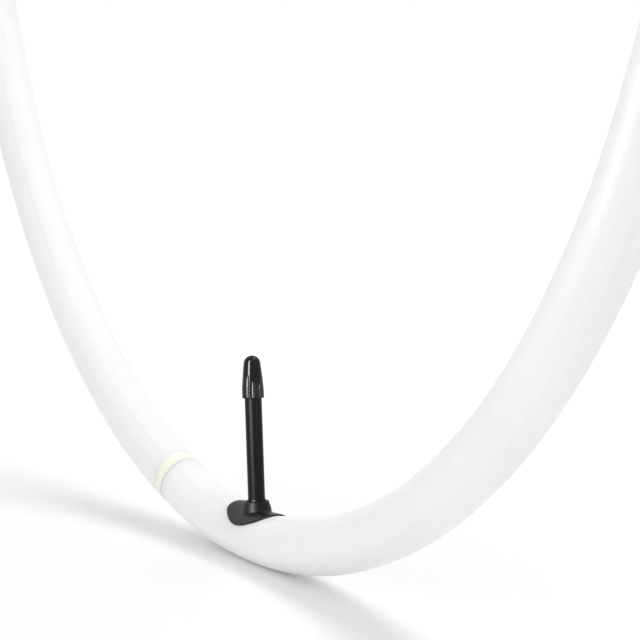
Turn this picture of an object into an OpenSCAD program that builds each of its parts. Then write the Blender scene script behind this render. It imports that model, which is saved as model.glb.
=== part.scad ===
// Bicycle inner tube of thermoplastic polyurethane film, with a Presta valve on a moulded base.
// Millimetres. The origin is the centre of the ring, +Y is the wheel's axis and +Z is up.
// The valve is at the bottom of the ring and points up, towards the centre.

/* [Ring] */
// Radius of the tube's centre line
ring_r = 309; // [240:1:340]
// Outer diameter of the lightly inflated tube
tube_d = 20; // [17:0.5:24]
// Thickness of the film
film_t = 0.25; // [0.2:0.05:0.5]

/* [Splice] */
// Where the film's two ends are welded, in degrees round the ring from the valve
splice_at = -13.4; // [-40:0.1:-8]
// Length of the weld along the tube
splice_l = 6.5; // [4:0.5:10]
// How far the weld stands out from the film
splice_t = 0.25; // [0.2:0.05:0.5]

/* [Seat of the valve base] */
// How far the base presses the tube in
seat_dip = 2.2; // [1.5:0.1:2.7]
// Length of the pressed stretch, along the tube
seat_l = 60; // [50:1:72]
// How much flatter than the tube the seat is, as extra radius
seat_flare = 2; // [1.8:0.1:2.4]

/* [Valve base] */
// Length of the base along the tube
base_l = 35; // [32:1:48]
// Width of the base, seen from above
base_w = 17.6; // [15:0.1:20]
// Radius at the base's two tips
base_tip_r = 6.5; // [3:0.5:7]
// Thickness of the base's wings
base_t = 0.8; // [0.6:0.1:1.2]
// Height of the collar above the film
collar_h = 4; // [3:0.1:6]
// Radius of the collar's foot
collar_foot_r = 5.4; // [5.2:0.1:6.5]
// Radius of the collar's top
collar_top_r = 4.35; // [4.2:0.05:4.8]

/* [Stem] */
// Diameter of the smooth stem
stem_d = 6; // [5.8:0.1:7]
// Length of the valve from the base's surface to the stem's top
valve_l = 40; // [32:1:60]
// Diameter of the stem's air passage
air_d = 3.5; // [3.3:0.1:3.8]
// Radius of the stem's foot, inside the base
foot_r = 4.2; // [4:0.1:4.6]
// Thickness of the stem's foot
foot_t = 0.9; // [0.6:0.1:1.2]
// Extra radius of the stem's root, inside the collar
root_extra = 0.3; // [0.2:0.1:0.5]
// Height over which the root tapers into the shaft, above the collar
root_taper = 0.7; // [0.4:0.1:1.5]
// Bevel round the stem's top edge
stem_bevel = 0.45; // [0.2:0.05:0.8]

/* [Thread insert] */
// Outer diameter of the insert
insert_d = 5.1; // [5:0.05:5.2]
// Length of the insert
insert_l = 9; // [8:0.5:12]
// Diameter of the core's lower thread
core_d = 4.2; // [4:0.1:4.4]
// Length of the core's lower thread
core_thread_l = 5.6; // [4.5:0.1:7]

/* [Valve core] */
// Diameter of the thread that takes the cap
cap_thread_d = 5.2; // [5:0.1:5.4]
// Height of that thread above the stem
cap_thread_l = 6; // [5:0.5:8]
// Pitch of that thread
cap_pitch = 1.06; // [0.8:0.01:1.2]
// Distance across the flats for a core key
flats = 4.5; // [4.2:0.1:4.8]
// Depth of the core below the stem's top
core_depth = 12; // [11:0.5:16]
// Diameter of the pin
pin_d = 1.9; // [1.6:0.05:2]
// Pitch of the pin's thread
pin_pitch = 0.5; // [0.4:0.05:0.6]
// Height of the pin's tip above the stem
pin_top = 11.8; // [11.5:0.1:12.2]
// Diameter of the knurled nut
nut_d = 4; // [3.6:0.1:4.4]
// Height of the knurled nut
nut_h = 3.5; // [3:0.1:4]
// Grooves round the nut
nut_knurls = 20; // [12:1:28]
// Height of the rubber seal on the pin
seal_h = 2; // [1.5:0.1:3]

/* [Cap] */
// Height of the cap
cap_h = 14.9; // [14.8:0.1:18]
// Diameter of the cap's skirt, over its ribs
cap_d = 7.7; // [7.4:0.1:8.4]
// Radius of the cap's round tip
cap_tip_r = 3; // [2.9:0.05:3.3]
// Height of the skirt's straight part
cap_straight_h = 1; // [1:0.5:6]
// Ribs round the cap
cap_ribs = 18; // [10:1:24]
// Height of the ribs
cap_rib_h = 6; // [4:0.5:9]
// How far the ribs stand out
cap_rib_t = 0.15; // [0.1:0.05:0.35]
// How far the cap's skirt reaches down over the stem
cap_lap = 0.4; // [0.2:0.1:1]

/* [Hidden] */

bond = 0.05;          // line of weld or adhesive between bonded pieces
fit = 0.02;           // gap between a moulded piece and what it is moulded round
run = 0.05;           // radial clearance of a screwed or sliding piece
slack = 0.2;          // clearance round the air passage and the pin
cap_wall = 1.2;       // thickness of the cap at its tip
peen_r = 0.15;        // how far the pin's head stands out, which keeps the nut on
pin_head_h = 0.5;
pin_foot_t = 0.5;     // thickness of the disc under the seal
groove_t = 0.3;       // depth of a thread's groove
big = 2 * ring_r;     // longer than anything that it cuts

tube_r = tube_d / 2;
crown_r = ring_r - tube_r;                 // radius of the ring's inside
seat_z = -crown_r - seat_dip;              // height of the film under the valve
stem_top = base_t + valve_l;               // heights from here on are above the seat
seat_r = tube_r + seat_flare;
seat_sag = seat_dip + crown_r - sqrt(crown_r * crown_r - seat_l * seat_l / 4);
seat_curve = (seat_l * seat_l / 4 + seat_sag * seat_sag) / (2 * seat_sag);
seat_zone = seat_l / 2 + 5;                // past here the seat lies outside the tube
stem_r = stem_d / 2;
air_r = air_d / 2;
core_r = core_d / 2;
pin_r = pin_d / 2;
root_r = stem_r + root_extra;
root_top = collar_h + 0.1;
insert_r = insert_d / 2;
cap_skirt_r = cap_d / 2 - cap_rib_t;
cap_tip_z = cap_h - cap_tip_r;
cap_z = stem_top - cap_lap;
cap_in_r = cap_thread_d / 2 + 2 * run;
nut_z = stem_top + cap_thread_l + 0.1;
gasket_t = 0.9;
gasket_z = stem_top - core_thread_l - gasket_t - 0.1;
seal_z = stem_top - core_depth - seal_h - run;

ring_fn = 360;
round_fn = 96;
small_fn = 64;

// A ring of circular section round the Y axis
module ring(big_r, small_r) {
    rotate([90, 0, 0])
        rotate_extrude($fn = ring_fn)
            translate([big_r, 0]) circle(small_r, $fn = round_fn);
}

// An upright round post between two heights
module cylinder_from(low, high, r) {
    translate([0, 0, low]) cylinder(r = r, h = high - low, $fn = round_fn);
}

// The valve's own frame: z = 0 is the film under the base, on the valve's axis
module at_valve() {
    translate([0, 0, seat_z]) children();
}

// The ring that the seat's surface lies on, its surface moved out by the given amount
module seat_ring(grow) {
    translate([0, 0, seat_curve])
        ring(seat_curve + seat_r, seat_r + grow);
}

// The tube's outline as a solid, moved in by the given amount, with the seat pressed into it
module tube_solid(shrink) {
    difference() {
        ring(ring_r, tube_r - shrink);
        at_valve() difference() {
            translate([-seat_zone, -tube_d, -tube_r])
                cube([2 * seat_zone, 2 * tube_d, 2 * tube_d]);
            seat_ring(-shrink);
        }
    }
}

// The film: a closed hollow ring with one hole, under the valve
module air_tube() {
    color([0.93, 0.93, 0.94, 0.6]) difference() {
        tube_solid(0);
        tube_solid(film_t);
        at_valve() cylinder_from(-tube_r, base_t, air_r + slack);
    }
}

// The weld over the film's overlapping ends
module splice_weld() {
    splice_angle = splice_l / ring_r * 180 / PI;
    color([0.93, 0.94, 0.72, 0.8])
        rotate([90, 0, 0])
            rotate([0, 0, splice_at - 90 - splice_angle / 2])
                rotate_extrude(angle = splice_angle, $fn = ring_fn)
                    translate([ring_r, 0]) difference() {
                        circle(tube_r + bond + splice_t, $fn = round_fn);
                        circle(tube_r + bond, $fn = round_fn);
                    }
}

// The base's outline from above: two long arcs that meet in two round tips
module base_outline() {
    half_l = base_l / 2 - base_tip_r;
    half_w = base_w / 2;
    side_r = (half_l * half_l + half_w * half_w - base_tip_r * base_tip_r) / (2 * (half_w - base_tip_r));
    tangent_x = half_l * side_r / (side_r - base_tip_r);
    intersection() {
        translate([0, half_w - side_r]) circle(side_r, $fn = ring_fn);
        translate([0, side_r - half_w]) circle(side_r, $fn = ring_fn);
        square([2 * tangent_x, base_w + 1], center = true);
    }
    for (side = [-1, 1])
        translate([side * half_l, 0]) circle(base_tip_r, $fn = round_fn);
}

// The collar: a cone with a bevelled rim
module collar() {
    rim = 0.4;
    side_h = collar_h - rim;
    cylinder(r1 = collar_foot_r, r2 = collar_top_r, h = side_h, $fn = round_fn);
    translate([0, 0, side_h])
        cylinder(r1 = collar_top_r, r2 = collar_top_r - rim, h = rim, $fn = round_fn);
}

// The moulded base: two wings that follow the seat, with the collar in their middle
module valve_base() {
    color([0.13, 0.13, 0.135]) at_valve() difference() {
        union() {
            intersection() {
                seat_ring(bond + base_t);
                translate([0, 0, -seat_r / 2])
                    linear_extrude(seat_r) base_outline();
            }
            collar();
        }
        seat_ring(bond);
        cylinder_from(-1, 2 * bond + foot_t + fit, foot_r + fit);
        cylinder_from(-1, valve_l, root_r + fit);
    }
}

// The stem: foot and root inside the base, a short taper, then the smooth shaft
module valve_stem() {
    color([0.08, 0.08, 0.085]) at_valve() difference() {
        union() {
            cylinder_from(2 * bond, 2 * bond + foot_t, foot_r);
            cylinder_from(2 * bond, root_top, root_r);
            translate([0, 0, root_top])
                cylinder(r1 = root_r, r2 = stem_r, h = root_taper, $fn = round_fn);
            cylinder_from(2 * bond, stem_top - stem_bevel, stem_r);
            translate([0, 0, stem_top - stem_bevel])
                cylinder(r1 = stem_r, r2 = stem_r - stem_bevel, h = stem_bevel, $fn = round_fn);
        }
        cylinder_from(0, stem_top + 1, air_r);
        cylinder_from(stem_top - insert_l, stem_top + 1, insert_r + fit);
    }
}

// The brass insert moulded into the stem's top, which takes the core
module thread_insert() {
    rib_pitch = 1.5;
    seat_top = stem_top - core_thread_l;
    seat_drop = 1.2;
    color([0.78, 0.62, 0.32]) at_valve() difference() {
        cylinder_from(stem_top - insert_l, stem_top, insert_r);
        cylinder_from(0, stem_top + 1, air_r);
        cylinder_from(seat_top, stem_top + 1, core_r + run);
        translate([0, 0, seat_top - seat_drop])
            cylinder(r1 = air_r, r2 = core_r + run, h = seat_drop, $fn = round_fn);
        for (z = [stem_top - insert_l + rib_pitch : rib_pitch : stem_top - rib_pitch / 2])
            translate([0, 0, z]) ring_groove(insert_r, 0.1, 0.4);
    }
}

// A groove round a shaft, for cutting: its floor is depth below the shaft's radius
module ring_groove(shaft_r, depth, width) {
    rotate_extrude($fn = small_fn)
        polygon([
            [shaft_r - depth, 0],
            [shaft_r + depth, -width],
            [shaft_r + depth, width]
        ]);
}

// The core's body: the cap's thread, the lower thread, the gasket's neck and the valve tube
module core_body() {
    neck_r = core_r - 0.5;
    tip_z = stem_top - core_depth;
    thread_z = stem_top + run;
    color([0.80, 0.64, 0.33]) at_valve() difference() {
        union() {
            cylinder_from(thread_z, stem_top + cap_thread_l, cap_thread_d / 2);
            cylinder_from(stem_top - core_thread_l, stem_top + 1, core_r);
            cylinder_from(tip_z, stem_top, neck_r);
        }
        for (z = [thread_z + cap_pitch : cap_pitch : thread_z + cap_thread_l - cap_pitch / 2])
            translate([0, 0, z]) ring_groove(cap_thread_d / 2, groove_t, cap_pitch / 2 * 0.8);
        for (side = [0, 180])
            rotate([0, 0, side])
                translate([flats / 2, -big / 2, stem_top + cap_thread_l / 2])
                    cube([big, big, cap_thread_l]);
        cylinder_from(tip_z - 1, stem_top + cap_thread_l + 1, pin_r + run);
    }
}

// The gasket between the core and the insert
module core_gasket() {
    color([0.85, 0.85, 0.82]) at_valve() translate([0, 0, gasket_z])
        rotate_extrude($fn = round_fn)
            polygon([
                [core_r - 0.5 + fit, 0],
                [core_r - 0.3, 0],
                [core_r - run, gasket_t],
                [core_r - 0.5 + fit, gasket_t]
            ]);
}

// The pin that opens the valve: its foot carries the seal and its peened head keeps the nut
module core_pin() {
    foot_z = seal_z - pin_foot_t;
    top_z = stem_top + pin_top;
    head_z = top_z - pin_head_h;
    color([0.84, 0.68, 0.36]) at_valve() difference() {
        union() {
            cylinder_from(foot_z, head_z, pin_r);
            cylinder_from(foot_z, seal_z, pin_r + peen_r * 3);
            translate([0, 0, head_z])
                cylinder(r1 = pin_r + peen_r, r2 = pin_r, h = pin_head_h, $fn = small_fn);
        }
        for (z = [stem_top + cap_thread_l - 1 : pin_pitch : head_z - pin_pitch])
            translate([0, 0, z]) ring_groove(pin_r, groove_t / 2, pin_pitch / 2 * 0.8);
    }
}

// The rubber seal on the pin, under the core's tube
module pin_seal() {
    color([0.1, 0.1, 0.1]) at_valve() translate([0, 0, seal_z]) difference() {
        cylinder(r1 = air_r - slack, r2 = air_r - 2 * slack, h = seal_h, $fn = small_fn);
        cylinder_from(-1, seal_h + 1, pin_r + fit);
    }
}

// The knurled nut that locks the pin
module lock_nut() {
    waist_h = 0.8;
    notch = 0.22;
    color([0.82, 0.66, 0.34]) at_valve() translate([0, 0, nut_z]) difference() {
        union() {
            cylinder_from(0, nut_h, nut_d / 2 - 0.35);
            cylinder_from(waist_h, nut_h, nut_d / 2);
        }
        cylinder_from(-1, nut_h + 1, pin_r + run);
        for (i = [0 : nut_knurls - 1])
            rotate([0, 0, i * 360 / nut_knurls])
                translate([nut_d / 2, 0, waist_h - 1])
                    rotate([0, 0, 45]) translate([-notch / 2, -notch / 2]) cube([notch, notch, nut_h + 2]);
    }
}

// Half a section of the cap's outside: a straight skirt, a long arc and a round tip that meets it
module cap_profile() {
    rise = cap_tip_z - cap_straight_h;
    side_r = (cap_skirt_r * cap_skirt_r + rise * rise - cap_tip_r * cap_tip_r)
        / (2 * (cap_skirt_r - cap_tip_r));
    meet_z = cap_tip_z + cap_tip_r * rise / (side_r - cap_tip_r);
    square([cap_skirt_r, cap_straight_h]);
    intersection() {
        translate([cap_skirt_r - side_r, cap_straight_h]) circle(side_r, $fn = ring_fn);
        translate([0, cap_straight_h]) square([cap_skirt_r, meet_z - cap_straight_h]);
    }
    intersection() {
        translate([0, cap_tip_z]) circle(cap_tip_r, $fn = round_fn);
        translate([0, cap_tip_z]) square(cap_tip_r);
    }
}

// The ribs round the skirt, which sink into the cap's side towards their tops
module cap_rib_ring() {
    rib_r = cap_rib_t * 1.2;
    upright_h = cap_rib_h / 2;
    intersection() {
        for (i = [0 : cap_ribs - 1])
            rotate([0, 0, i * 360 / cap_ribs])
                translate([cap_d / 2 - rib_r, 0, 0]) cylinder(r = rib_r, h = cap_rib_h, $fn = 24);
        union() {
            cylinder_from(0, upright_h, cap_d / 2);
            translate([0, 0, upright_h])
                cylinder(r1 = cap_d / 2, r2 = cap_skirt_r - cap_rib_t, h = upright_h, $fn = round_fn);
        }
    }
}

// The screwed cap: ribbed outside, with room for the core's top inside
module valve_cap() {
    hollow_r = cap_in_r - 0.35;
    hollow_z = cap_h - cap_wall - hollow_r;
    color([0.07, 0.065, 0.06, 0.95]) at_valve() translate([0, 0, cap_z]) difference() {
        union() {
            rotate_extrude($fn = round_fn) cap_profile();
            cap_rib_ring();
        }
        cylinder_from(-1, cap_lap + 2 * run, stem_r + 3 * run);
        cylinder_from(-1, cap_lap + cap_thread_l + slack, cap_in_r);
        cylinder_from(-1, hollow_z, hollow_r);
        translate([0, 0, hollow_z]) sphere(r = hollow_r, $fn = round_fn);
    }
}

air_tube();
splice_weld();
valve_base();
valve_stem();
thread_insert();
core_body();
core_gasket();
core_pin();
pin_seal();
lock_nut();
valve_cap();
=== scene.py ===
"""A film inner tube: a milky polyurethane ring, lightly pumped up, with a black Presta valve.

Lengths are in metres. The ring's centre is the origin, +Y is the wheel's axis, and the valve
stands at the bottom of the ring and points up to the centre.
"""
import math

import bmesh
import bpy
import numpy as np
from mathutils import Matrix, Vector


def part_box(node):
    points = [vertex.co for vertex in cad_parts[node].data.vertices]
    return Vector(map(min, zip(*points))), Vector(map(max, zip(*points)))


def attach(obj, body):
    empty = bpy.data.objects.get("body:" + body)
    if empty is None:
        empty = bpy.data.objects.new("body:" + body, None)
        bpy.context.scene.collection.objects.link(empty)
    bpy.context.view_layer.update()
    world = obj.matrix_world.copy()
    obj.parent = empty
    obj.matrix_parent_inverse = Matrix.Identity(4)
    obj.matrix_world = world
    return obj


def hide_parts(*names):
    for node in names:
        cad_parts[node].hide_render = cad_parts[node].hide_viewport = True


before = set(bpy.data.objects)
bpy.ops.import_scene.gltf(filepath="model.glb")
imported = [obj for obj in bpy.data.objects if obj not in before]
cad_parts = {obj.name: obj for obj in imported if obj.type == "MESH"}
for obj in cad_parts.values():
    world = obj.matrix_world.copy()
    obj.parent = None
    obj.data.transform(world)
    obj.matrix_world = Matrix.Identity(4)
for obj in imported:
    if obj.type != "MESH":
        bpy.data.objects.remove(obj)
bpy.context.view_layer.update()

MM = 0.001
FULL_TURN = 2 * math.pi

# The ring, read from the film's CAD box
film_low, film_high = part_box("air_tube")
TUBE_R = (film_high.y - film_low.y) / 2
RING_R = film_high.z - TUBE_R
CROWN_R = RING_R - TUBE_R
GROUND_Z = film_low.z

# The seat that the valve's base presses into the film: depth, length and extra radius
SEAT_DIP = 2.2 * MM
SEAT_HALF_L = 30 * MM
SEAT_FLARE = 2 * MM

# The weld, read from its CAD box: angle round the ring from the valve, and length along the tube
weld_low, weld_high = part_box("splice_weld")
weld_middle = (weld_low + weld_high) / 2
SPLICE_AT = math.atan2(weld_middle.x, -weld_middle.z)
SPLICE_HALF = 3.25 * MM / RING_R


# ---------------------------------------------------------------- camera

def make_camera():
    """A long lens at the ring's right-hand side, a little above the bottom of the ring."""
    data = bpy.data.cameras.new("camera")
    data.sensor_width = 36
    data.lens = 137.43
    camera = bpy.data.objects.new("camera", data)
    bpy.context.scene.collection.objects.link(camera)
    turn = Matrix.Rotation(math.radians(65.73), 4, "Z")
    tilt = Matrix.Rotation(math.radians(90 - 6.0), 4, "X")
    roll = Matrix.Rotation(math.radians(-1.78), 4, "Z")
    place = Matrix.Translation((0.7807, -0.3255, -0.1454))
    camera.matrix_world = place @ turn @ tilt @ roll
    bpy.context.scene.camera = camera


make_camera()


# ---------------------------------------------------------------- materials

def linear(hex_colour):
    """A linear RGBA colour from an sRGB hex value such as "#1E1E20"."""
    channels = [int(hex_colour[i:i + 2], 16) / 255 for i in (1, 3, 5)]
    return [c / 12.92 if c <= 0.04045 else ((c + 0.055) / 1.055) ** 2.4 for c in channels] + [1]


def add(tree, kind, inputs=None, **settings):
    """Adds a node. inputs maps an input's name or number to a value or to another node's output."""
    made = tree.nodes.new(kind)
    for name, value in settings.items():
        setattr(made, name, value)
    for key, value in (inputs or {}).items():
        if isinstance(value, bpy.types.NodeSocket):
            tree.links.new(value, made.inputs[key])
        else:
            made.inputs[key].default_value = value
    return made


def new_material(name):
    """An empty material: the material, its node tree and its output node."""
    material = bpy.data.materials.new(name)
    material.use_nodes = True
    tree = material.node_tree
    tree.nodes.clear()
    return material, tree, tree.nodes.new("ShaderNodeOutputMaterial")


def per_metre(size_mm):
    """The texture scale whose features are about this many millimetres across."""
    return 1 / (size_mm * MM)


def extruded_film():
    """Thermoplastic polyurethane film, extruded and left unpigmented.

    Milky white with light scattered inside it, a soft sheen, faint patches a few centimetres
    long, and faint lines drawn lengthwise by the die, a millimetre or two apart. The two fold
    lines are darkened in colour: painted shade.
    """
    material, tree, output = new_material("extruded_polyurethane_film")
    place = add(tree, "ShaderNodeTexCoord").outputs["Object"]
    patches = add(tree, "ShaderNodeTexNoise", {
        "Vector": place, "Scale": per_metre(45), "Detail": 3.0,
    })
    tint = add(tree, "ShaderNodeValToRGB", {0: patches.outputs[0]})
    tint.color_ramp.elements[0].position = 0.38
    tint.color_ramp.elements[0].color = linear("#F7F7F8")
    tint.color_ramp.elements[1].position = 0.62
    tint.color_ramp.elements[1].color = linear("#FBFBFA")
    # x and y run round the tube and z along it
    skin = add(tree, "ShaderNodeAttribute", attribute_name="skin")
    drawn = add(tree, "ShaderNodeVectorMath", {0: skin.outputs["Vector"], 1: (1.0, 1.0, 0.025)},
                operation="MULTIPLY")
    lines = add(tree, "ShaderNodeTexNoise", {
        "Vector": drawn.outputs[0], "Scale": per_metre(2.2), "Detail": 3.0,
    })
    faint = add(tree, "ShaderNodeMapRange", {
        "Value": lines.outputs[0], "From Min": 0.35, "From Max": 0.65, "To Min": 0.0, "To Max": 0.11,
    })
    lined = add(tree, "ShaderNodeMix", {0: faint.outputs[0], 6: tint.outputs[0], 7: linear("#DDDDDE")},
                data_type="RGBA")
    # the two fold lines darkened towards #DDDDDE: painted shade
    crease = add(tree, "ShaderNodeAttribute", attribute_name="crease")
    painted_crease_shade = add(tree, "ShaderNodeMix", {0: crease.outputs["Fac"], 6: lined.outputs[2], 7: linear("#DDDDDE")},
               data_type="RGBA")
    grain = add(tree, "ShaderNodeTexNoise", {
        "Vector": place, "Scale": per_metre(1.2), "Detail": 4.0,
    })
    bump = add(tree, "ShaderNodeBump", {
        "Strength": 0.08, "Distance": 0.05 * MM, "Height": grain.outputs[0],
    })
    shader = add(tree, "ShaderNodeBsdfPrincipled", {
        "Base Color": painted_crease_shade.outputs[2],
        "Roughness": 0.42,
        "IOR": 1.5,
        "Specular IOR Level": 0.15,
        "Subsurface Weight": 0.6,
        "Subsurface Radius": (1.0, 1.0, 1.0),
        "Subsurface Scale": 9 * MM,
        "Normal": bump.outputs[0],
    })
    tree.links.new(shader.outputs[0], output.inputs[0])
    return material


def welded_film():
    """Two layers of film fused by heat: pale yellow-green, glossy, with painted shadow along the lap's
    edge.
    """
    material, tree, output = new_material("heat_welded_polyurethane_film")
    place = add(tree, "ShaderNodeTexCoord").outputs["Object"]
    cloud = add(tree, "ShaderNodeTexNoise", {"Vector": place, "Scale": per_metre(4), "Detail": 3.0})
    tint = add(tree, "ShaderNodeValToRGB", {0: cloud.outputs[0]})
    tint.color_ramp.elements[0].position = 0.35
    tint.color_ramp.elements[0].color = linear("#FDFEE9")
    tint.color_ramp.elements[1].position = 0.65
    tint.color_ramp.elements[1].color = linear("#FFFFF7")
    # the lap's edge darkened towards #DCDDCB: painted shadow of the step in the film
    lap = add(tree, "ShaderNodeAttribute", attribute_name="lap")
    colour = add(tree, "ShaderNodeMix", {0: lap.outputs["Fac"], 6: tint.outputs[0], 7: linear("#DCDDCB")},
                 data_type="RGBA")
    ripple = add(tree, "ShaderNodeTexNoise", {
        "Vector": place, "Scale": per_metre(1.5), "Detail": 2.0,
    })
    bump = add(tree, "ShaderNodeBump", {
        "Strength": 0.3, "Distance": 0.08 * MM, "Height": ripple.outputs[0],
    })
    shader = add(tree, "ShaderNodeBsdfPrincipled", {
        "Base Color": colour.outputs[2],
        "Roughness": 0.3,
        "IOR": 1.5,
        "Specular IOR Level": 0.3,
        "Normal": bump.outputs[0],
    })
    tree.links.new(shader.outputs[0], output.inputs[0])
    return material


def moulded(name, dark, light, roughness, grain_mm, bump_strength, specular):
    """A moulded polymer: satin, with a fine even grain and slightly paler handled patches."""
    material, tree, output = new_material(name)
    place = add(tree, "ShaderNodeTexCoord").outputs["Object"]
    handling = add(tree, "ShaderNodeTexNoise", {"Vector": place, "Scale": per_metre(6), "Detail": 4.0})
    colour = add(tree, "ShaderNodeMix", {0: handling.outputs[0], 6: linear(dark), 7: linear(light)},
                 data_type="RGBA")
    rough = add(tree, "ShaderNodeMapRange", {
        "Value": handling.outputs[0], "To Min": roughness - 0.06, "To Max": roughness + 0.06,
    })
    grain = add(tree, "ShaderNodeTexNoise", {"Vector": place, "Scale": per_metre(grain_mm), "Detail": 2.0})
    bump = add(tree, "ShaderNodeBump", {
        "Strength": bump_strength, "Distance": 0.04 * MM, "Height": grain.outputs[0],
    })
    shader = add(tree, "ShaderNodeBsdfPrincipled", {
        "Base Color": colour.outputs[2],
        "Roughness": rough.outputs[0],
        "IOR": 1.5,
        "Specular IOR Level": specular,
        "Normal": bump.outputs[0],
    })
    tree.links.new(shader.outputs[0], output.inputs[0])
    return material


def smoked_plastic():
    """Smoke-tinted acrylic, moulded and glossy: almost black, brown where light gets through."""
    material, tree, output = new_material("smoked_moulded_acrylic")
    place = add(tree, "ShaderNodeTexCoord").outputs["Object"]
    flow = add(tree, "ShaderNodeTexNoise", {"Vector": place, "Scale": per_metre(3), "Detail": 2.0})
    colour = add(tree, "ShaderNodeMix", {0: flow.outputs[0], 6: linear("#0D0B07"), 7: linear("#16130C")},
                 data_type="RGBA")
    rough = add(tree, "ShaderNodeMapRange", {"Value": flow.outputs[0], "To Min": 0.06, "To Max": 0.14})
    shader = add(tree, "ShaderNodeBsdfPrincipled", {
        "Base Color": colour.outputs[2],
        "Roughness": rough.outputs[0],
        "IOR": 1.49,
        "Specular IOR Level": 0.15,
        "Transmission Weight": 0.15,
    })
    tree.links.new(shader.outputs[0], output.inputs[0])
    return material


def turned_brass():
    """Free-cutting brass off a lathe: bright warm metal with fine rings round the axis."""
    material, tree, output = new_material("turned_brass")
    place = add(tree, "ShaderNodeTexCoord").outputs["Object"]
    tarnish = add(tree, "ShaderNodeTexNoise", {"Vector": place, "Scale": per_metre(2), "Detail": 3.0})
    colour = add(tree, "ShaderNodeMix", {0: tarnish.outputs[0], 6: linear("#C9A75C"), 7: linear("#E2C47C")},
                 data_type="RGBA")
    # tool marks 0.1 mm apart
    rings = add(tree, "ShaderNodeTexWave", {
        "Vector": place, "Scale": per_metre(0.1) / 20, "Distortion": 0.3,
    }, wave_type="BANDS", bands_direction="Z")
    bump = add(tree, "ShaderNodeBump", {
        "Strength": 0.15, "Distance": 0.02 * MM, "Height": rings.outputs[0],
    })
    shader = add(tree, "ShaderNodeBsdfPrincipled", {
        "Base Color": colour.outputs[2],
        "Metallic": 1.0,
        "Roughness": 0.24,
        "Normal": bump.outputs[0],
    })
    tree.links.new(shader.outputs[0], output.inputs[0])
    return material


FILM = extruded_film()
WELD = welded_film()
BASE_BLACK = moulded("moulded_soft_polyurethane", "#101011", "#171718", 0.42, 0.35, 0.2, 0.14)
STEM_BLACK = moulded("moulded_hard_polyurethane", "#0B0B0C", "#121213", 0.34, 0.3, 0.1, 0.12)
SEAL_BLACK = moulded("moulded_nitrile_rubber", "#141414", "#1F1F1F", 0.6, 0.2, 0.2, 0.4)
GASKET_WHITE = moulded("moulded_ptfe", "#DCDCD6", "#E8E8E2", 0.5, 0.3, 0.1, 0.4)
CAP_SMOKE = smoked_plastic()
BRASS = turned_brass()


# ---------------------------------------------------------------- the film ring

def ring_point(phi, theta, radius):
    """Points at angle phi round the ring from the valve, theta round the tube from its inner side."""
    across = RING_R - radius * np.cos(theta)
    return np.stack([across * np.sin(phi), radius * np.sin(theta), -across * np.cos(phi)], axis=-1)


def smooth_min(a, b, width):
    """The smaller of two lengths, with the corner between them rounded over a width."""
    share = np.clip(0.5 + 0.5 * (b - a) / width, 0, 1)
    return b + (a - b) * share - width * share * (1 - share)


def seat_radius(phi, theta):
    """How far from the tube's centre line the base's seat lies, found by halving."""
    sag = SEAT_DIP + CROWN_R - math.sqrt(CROWN_R ** 2 - SEAT_HALF_L ** 2)
    curve = (SEAT_HALF_L ** 2 + sag ** 2) / (2 * sag)
    seat_r = TUBE_R + SEAT_FLARE
    centre_z = -CROWN_R - SEAT_DIP + curve
    near = np.zeros_like(phi)
    far = np.full_like(phi, 2 * TUBE_R)
    for _ in range(24):
        middle = (near + far) / 2
        point = ring_point(phi, theta, middle)
        from_ring = np.hypot(point[..., 0], point[..., 2] - centre_z) - (curve + seat_r)
        inside = np.hypot(from_ring, point[..., 1]) < seat_r
        near = np.where(inside, middle, near)
        far = np.where(inside, far, middle)
    past_seat = np.abs(phi) > (SEAT_HALF_L + 5 * MM) / RING_R
    return np.where(past_seat, 2 * TUBE_R, near)


def film_radius(phi, theta):
    """The film's distance from the tube's centre line, with the seat, the creases and soft waves."""
    # long soft waves from the way it was rolled up, and a slight waist at the weld
    wave = (0.05 * np.sin(11 * phi + 2 * theta) + 0.04 * np.sin(23 * phi - theta + 1.3)
            + 0.025 * np.sin(41 * phi + 3 * theta + 0.4)) * MM
    waist = 0.25 * MM * np.exp(-((phi - SPLICE_AT) * RING_R / (9 * MM)) ** 2)
    # a long shallow dip in the inner side, where the weld and the base pull the film in
    along = np.clip((np.degrees(phi) + 9.0) / 6.5, -1, 1)
    dip = 1.3 * MM * np.cos(along * math.pi / 2) ** 2 * np.clip(np.cos(theta), 0, 1) ** 2
    round_r = TUBE_R + wave - 0.1 * MM - waist - dip + 0.08 * MM * crease_amount(phi, theta)
    return smooth_min(round_r, seat_radius(phi, theta), 0.5 * MM)


# The two edges along which the film lay flat, as angles round the tube
CREASES = (math.radians(-32.7), math.radians(147.3))
CREASE_HALF_W = 0.45 * MM
# how far the film's colour is darkened on a fold line: painted shade
CREASE_SHADE = 0.2


def crease_amount(phi, theta):
    """1 on a fold line, falling to 0 about half a millimetre away."""
    amount = np.zeros_like(theta)
    for at in CREASES:
        off = (theta - at - 0.02 * np.sin(9 * phi) + math.pi) % FULL_TURN - math.pi
        amount = np.maximum(amount, np.exp(-(off * TUBE_R / CREASE_HALF_W) ** 2))
    return amount


def grid_mesh(name, points, close_u, close_v):
    """A mesh from a grid of points, joined end to end where asked. Returns its object."""
    rows, columns = points.shape[:2]
    faces = []
    for i in range(rows if close_u else rows - 1):
        for j in range(columns if close_v else columns - 1):
            k, m = (i + 1) % rows, (j + 1) % columns
            faces.append((i * columns + j, k * columns + j, k * columns + m, i * columns + m))
    mesh = bpy.data.meshes.new(name)
    mesh.from_pydata(points.reshape(-1, 3).tolist(), [], faces)
    outward = bmesh.new()
    outward.from_mesh(mesh)
    bmesh.ops.recalc_face_normals(outward, faces=outward.faces)
    outward.to_mesh(mesh)
    outward.free()
    mesh.polygons.foreach_set("use_smooth", [True] * len(faces))
    made = bpy.data.objects.new(name, mesh)
    bpy.context.scene.collection.objects.link(made)
    return made


def point_attribute(made, name, values):
    """Stores one number a vertex, for a material to read."""
    made.data.attributes.new(name, "FLOAT", "POINT").data.foreach_set("value", values.ravel())


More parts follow.
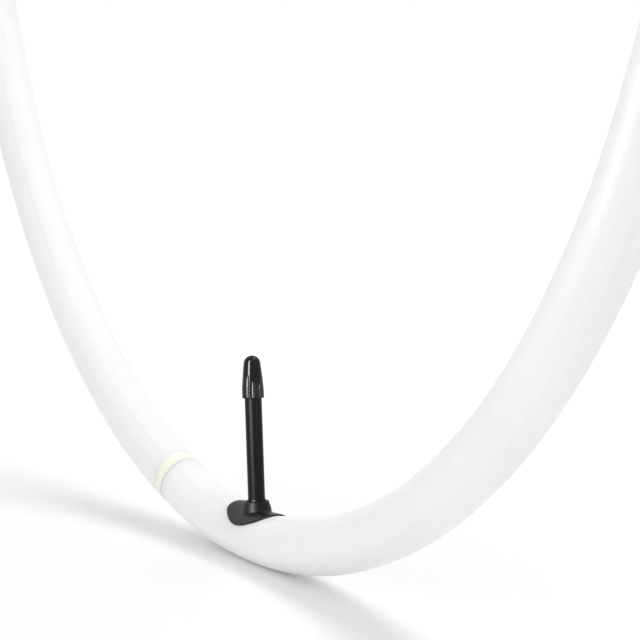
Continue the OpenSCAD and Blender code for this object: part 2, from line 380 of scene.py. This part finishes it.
def uneven_steps(count, dense_at, dense_half, share):
    """Angles round a full turn, with this share of them within dense_half of dense_at."""
    dense = int(count * share)
    inner = np.linspace(-dense_half, dense_half, dense, endpoint=False)
    outer = np.linspace(dense_half, FULL_TURN - dense_half, count - dense, endpoint=False)
    return np.concatenate([inner, outer]) + dense_at


def film_tube():
    """The whole film as one closed skin, finer near the valve."""
    around = uneven_steps(760, 0, math.radians(20), 0.35)
    section = np.linspace(0, FULL_TURN, 128, endpoint=False)
    phi, theta = np.meshgrid(around, section, indexing="ij")
    wrapped = (phi + math.pi) % FULL_TURN - math.pi
    points = ring_point(wrapped, theta, film_radius(wrapped, theta))
    made = grid_mesh("film_tube", points, True, True)
    # the fold lines' painted shade, stored for the film's material
    point_attribute(made, "crease", crease_amount(wrapped, theta) * CREASE_SHADE)
    # the same on both sides of the valve, so that the lines meet at the top of the ring
    skin = np.stack([TUBE_R * np.cos(theta), TUBE_R * np.sin(theta), RING_R * np.abs(wrapped)], axis=-1)
    made.data.attributes.new("skin", "FLOAT_VECTOR", "POINT").data.foreach_set("vector", skin.ravel())
    made.data.materials.append(FILM)
    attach(made, "tube")
    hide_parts("air_tube")
    return made


def splice_band():
    """The lapped and welded ends of the film: a thin band with uneven edges and a raised lap."""
    across = np.linspace(-1, 1, 25)
    section = np.linspace(0, FULL_TURN, 144, endpoint=False)
    side, theta = np.meshgrid(across, section, indexing="ij")
    ragged = 0.10 * np.sin(3 * theta + 0.7) + 0.05 * np.sin(7 * theta) + 0.03 * np.sin(13 * theta + 2)
    # the cut ends weren't quite square to the tube
    bow = math.radians(0.35) * (1 - np.cos(2 * (theta + math.pi / 3)))
    phi = SPLICE_AT - bow + SPLICE_HALF * (side + ragged * np.abs(side))
    lap = np.exp(-((side - 0.82) / 0.09) ** 2)
    thickness = (0.14 * (1 - side ** 8) + 0.12 * lap - 0.05) * MM
    outside = film_radius(phi, theta) + thickness
    inside = film_radius(phi, theta) - 0.12 * MM
    rows = np.concatenate([ring_point(phi, theta, outside), ring_point(phi, theta, inside)[::-1]])
    made = grid_mesh("splice_band", rows, True, True)
    # painted shadow along the lap's edge, strongest on one part of the tube's section and none on the rest
    painted_lap_shadow = lap * np.clip(0.4 - 0.6 * np.sin(theta + 0.5), 0, 1)
    point_attribute(made, "lap", np.concatenate([painted_lap_shadow, np.zeros_like(painted_lap_shadow)]))
    made.data.materials.append(WELD)
    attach(made, "tube")
    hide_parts("splice_weld")
    return made


film_tube()
splice_band()


# ---------------------------------------------------------------- the valve

# The base, in millimetres: half its length, half its width, the radius at its tips, the height
# of its collar, the radius of the hole for the stem, and the thickness of its wings
BASE_HALF_L, BASE_HALF_W, BASE_TIP_R = 17.5, 8.8, 6.5
COLLAR_H = 4.0
ROOT_R = 3.33
WING_T = 0.8


def outline_radius(angle):
    """How far the base's outline is from the valve's axis, in this direction."""
    half_l = BASE_HALF_L - BASE_TIP_R
    side_r = (half_l ** 2 + BASE_HALF_W ** 2 - BASE_TIP_R ** 2) / (2 * (BASE_HALF_W - BASE_TIP_R))
    drop = side_r - BASE_HALF_W
    across, along = np.abs(np.sin(angle)), np.abs(np.cos(angle))
    on_side = -drop * across + np.sqrt(side_r ** 2 - (drop * along) ** 2)
    tangent_x = half_l * side_r / (side_r - BASE_TIP_R)
    tip_reach = np.sqrt(np.maximum(BASE_TIP_R ** 2 - (half_l * across) ** 2, 0))
    return np.where(on_side * along > tangent_x, half_l * along + tip_reach, on_side)


def seat_height(x, y):
    """The height above the valve's foot of the film under the base, in millimetres."""
    half_l = SEAT_HALF_L / MM
    crown = CROWN_R / MM
    sag = SEAT_DIP / MM + crown - math.sqrt(crown ** 2 - half_l ** 2)
    curve = (half_l ** 2 + sag ** 2) / (2 * sag)
    seat_r = (TUBE_R + SEAT_FLARE) / MM
    reach = curve + seat_r - np.sqrt((seat_r + 0.05) ** 2 - y ** 2)
    return curve - np.sqrt(reach ** 2 - x ** 2)


def moulded_base():
    """The soft base: a collar that runs into two wings through a fillet, thin at their edges."""
    # the collar's section, from the hole outwards: radius and height
    collar = [(ROOT_R, 2.4), (ROOT_R, 3.8), (ROOT_R + 0.1, 3.95), (3.7, COLLAR_H - 0.01), (4.1, 3.97),
              (4.22, 3.93), (4.28, 3.86), (4.31, 3.76)]
    collar += [(4.33 + 0.8 * t, 3.65 - 2.55 * t) for t in np.linspace(0.03, 0.97, 8)]
    steps = 20
    angle = np.linspace(0, FULL_TURN, 192, endpoint=False)
    edge = outline_radius(angle) - 0.05
    rows = []
    for radius, height in collar:
        rows.append(np.stack([
            radius * np.cos(angle), radius * np.sin(angle), np.full_like(angle, height),
        ], -1))
    foot_r, foot_z = collar[-1]
    for i in range(1, steps + 1):
        share = i / steps
        radius = foot_r + (edge - foot_r) * share ** 1.25
        x, y = radius * np.cos(angle), radius * np.sin(angle)
        inward = edge - radius
        # the wing thins towards its edge, with one shallow step just inside it
        wing = WING_T * (1 - np.exp(-(inward + 0.12) / 0.5)) * (0.7 + 0.3 * np.clip(inward / 5, 0, 1))
        wing = wing - 0.07 * np.exp(-((inward - 1.1) / 0.16) ** 2)
        ground = seat_height(x, y)
        fillet = (foot_z - WING_T) * np.exp(-(radius - foot_r) / 0.25)
        rows.append(np.stack([x, y, ground + wing + np.maximum(fillet - 0.02, 0)], -1))
    x, y = (edge - 0.1) * np.cos(angle), (edge - 0.1) * np.sin(angle)
    rows.append(np.stack([x, y, seat_height(x, y) + 0.02], -1))
    x, y = (edge - 1.5) * np.cos(angle), (edge - 1.5) * np.sin(angle)
    rows.append(np.stack([x, y, seat_height(x, y) + 0.01], -1))
    points = np.array(rows) * MM
    points[..., 2] -= CROWN_R + SEAT_DIP
    made = grid_mesh("moulded_base", points, False, True)
    made.data.materials.append(BASE_BLACK)
    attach(made, "tube")
    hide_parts("valve_base")
    return made


CAP_RIBS = 18


def moulded_cap():
    """The hollow cap: a long ogive whose ribs fade out towards its round tip."""
    cap_low, cap_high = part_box("valve_cap")
    height = (cap_high.z - cap_low.z) / MM
    skirt_r, tip_r, straight_h, rib_t = 3.7, 3.0, 1.0, 0.15
    tip_z = height - tip_r
    rise = tip_z - straight_h
    side_r = (skirt_r ** 2 + rise ** 2 - tip_r ** 2) / (2 * (skirt_r - tip_r))
    meet = math.asin(rise / (side_r - tip_r))
    hollow_r, hollow_z = 2.35, height - 1.2 - 2.35
    # the inside, down from its dome, and the open end: radius and height
    section = [(hollow_r * math.cos(t), hollow_z + hollow_r * math.sin(t))
               for t in np.linspace(1.56, 0, 10)]
    section += [(hollow_r, 6.62), (hollow_r + 0.02, 6.6), (2.68, 6.6), (2.7, 6.58), (2.7, 0.55),
                (2.72, 0.52), (3.13, 0.5), (3.15, 0.48), (3.15, 0.02), (3.17, 0.0),
                (skirt_r - 0.12, 0.0)]
    last_inner = len(section) - 1
    # the outside, up to the tip
    section += [(skirt_r - 0.03, 0.04), (skirt_r, 0.15)]
    for z in np.linspace(0.5, tip_z + tip_r * math.sin(meet), 60):
        lean = math.sqrt(side_r ** 2 - max(z - straight_h, 0) ** 2)
        section.append((skirt_r - side_r + lean, z))
    section += [(tip_r * math.cos(t), tip_z + tip_r * math.sin(t))
                for t in np.linspace(meet, 1.565, 20)[1:]]
    radius, z = np.array(section).T[:, :, None]
    outside = (np.arange(len(section)) > last_inner)[:, None]
    angle = np.linspace(0, FULL_TURN, CAP_RIBS * 20, endpoint=False)[None, :]
    fade = np.clip((10.5 - z) / 8.0, 0, 1)
    fade = fade * fade * (3 - 2 * fade)
    ridge = (0.5 + 0.5 * np.cos(CAP_RIBS * angle)) ** 1.3
    radius = radius + np.where(outside, rib_t * fade * ridge, 0)
    points = np.stack([radius * np.cos(angle), radius * np.sin(angle), z + 0 * angle], -1) * MM
    points[..., 2] += cap_low.z
    made = grid_mesh("moulded_cap", points, False, True)
    made.data.materials.append(CAP_SMOKE)
    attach(made, "cap")
    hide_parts("valve_cap")
    return made


def dress(node_name, material):
    """Gives a CAD node its material."""
    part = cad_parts[node_name]
    part.data.materials.clear()
    part.data.materials.append(material)


moulded_base()
dress("valve_stem", STEM_BLACK)
moulded_cap()
for brass_part in ("thread_insert", "core_body", "core_pin", "lock_nut"):
    dress(brass_part, BRASS)
dress("core_gasket", GASKET_WHITE)
dress("pin_seal", SEAL_BLACK)


# ---------------------------------------------------------------- floor and light

# Half the floor's side
FLOOR_HALF = 8.0


def background_rays(tree):
    """1 for the rays that see the white background: camera, glossy and transmission rays."""
    path = add(tree, "ShaderNodeLightPath")
    mirrored = add(tree, "ShaderNodeMath", {
        0: path.outputs["Is Glossy Ray"], 1: path.outputs["Is Transmission Ray"],
    }, operation="MAXIMUM")
    return add(tree, "ShaderNodeMath", {
        0: path.outputs["Is Camera Ray"], 1: mirrored.outputs[0],
    }, operation="MAXIMUM").outputs[0]


def make_floor():
    """A white sweep of studio paper under the ring, which keeps the ring's shadow."""
    material, tree, output = new_material("white_studio_paper")
    place = add(tree, "ShaderNodeTexCoord").outputs["Object"]
    fibres = add(tree, "ShaderNodeTexNoise", {"Vector": place, "Scale": per_metre(2), "Detail": 2.0})
    colour = add(tree, "ShaderNodeMix", {0: fibres.outputs[0], 6: linear("#F3F3F3"), 7: linear("#F6F6F6")},
                 data_type="RGBA")
    paper = add(tree, "ShaderNodeBsdfDiffuse", {"Color": colour.outputs[2]})
    distance = add(tree, "ShaderNodeVectorMath", {0: place}, operation="LENGTH")
    far = add(tree, "ShaderNodeMapRange", {
        "Value": distance.outputs["Value"],
        "From Min": 0.25, "From Max": 0.9, "To Min": 0.03, "To Max": 0.5,
    })
    glow = add(tree, "ShaderNodeEmission", {"Color": linear("#FFFFFF"), "Strength": far.outputs[0]})
    lit = add(tree, "ShaderNodeAddShader", {0: paper.outputs[0], 1: glow.outputs[0]})
    shader = add(tree, "ShaderNodeMixShader", {
        0: background_rays(tree), 1: paper.outputs[0], 2: lit.outputs[0],
    })
    tree.links.new(shader.outputs[0], output.inputs[0])
    half = FLOOR_HALF
    mesh = bpy.data.meshes.new("floor")
    corners = [(-half, -half, GROUND_Z), (half, -half, GROUND_Z), (half, half, GROUND_Z),
               (-half, half, GROUND_Z)]
    mesh.from_pydata(corners, [], [(0, 1, 2, 3)])
    floor = bpy.data.objects.new("floor", mesh)
    mesh.materials.append(material)
    bpy.context.scene.collection.objects.link(floor)


# How strongly the room itself lights the object; 1 is white
ROOM_STRENGTH = 0.64


def make_world():
    """A white room: plain white where it is seen or mirrored, dimmer where it lights things."""
    world = bpy.data.worlds.new("white_room")
    bpy.context.scene.world = world
    world.use_nodes = True
    tree = world.node_tree
    tree.nodes.clear()
    room = add(tree, "ShaderNodeBackground", {"Color": linear("#FFFFFF"), "Strength": ROOM_STRENGTH})
    white = add(tree, "ShaderNodeBackground", {"Color": linear("#FFFFFF"), "Strength": 1.0})
    mix = add(tree, "ShaderNodeMixShader", {
        0: background_rays(tree), 1: room.outputs[0], 2: white.outputs[0],
    })
    output = add(tree, "ShaderNodeOutputWorld")
    tree.links.new(mix.outputs[0], output.inputs[0])


def make_strip_light(name, place, aim, size_x, size_y, power, only_gloss=False):
    """A rectangular soft light that faces a point. It can be one that only shows in gloss."""
    data = bpy.data.lights.new(name, "AREA")
    data.shape = "RECTANGLE"
    data.size = size_x
    data.size_y = size_y
    data.energy = power
    light = bpy.data.objects.new(name, data)
    light.location = place
    light.rotation_euler = (aim - place).to_track_quat("-Z", "Y").to_euler()
    light.visible_camera = False
    light.visible_diffuse = not only_gloss
    bpy.context.scene.collection.objects.link(light)


make_floor()
make_world()
foot = Vector((0, 0, GROUND_Z))
# above the ring and a little behind it, long along the ring
make_strip_light("overhead_strip", Vector((0.25, 0.62, 1.35)), foot, 2.0, 0.6, 12.8)
# a fill in front of the ring, to the left of the valve
make_strip_light("front_fill", Vector((0.52, -1.08, 0.1)), foot, 0.5, 0.9, 2.6)
# two low strips that draw the streaks on the stem and on the cap
make_strip_light("near_strip", Vector((0.13, -0.27, -0.1)), Vector((0, 0, -0.1)),
                 0.12, 0.42, 5.0, only_gloss=True)
make_strip_light("small_strip", Vector((0.285, 0.093, -0.285)), Vector((0, 0, -0.285)),
                 0.016, 0.05, 0.08, only_gloss=True)

bpy.context.scene.view_settings.view_transform = "Standard"
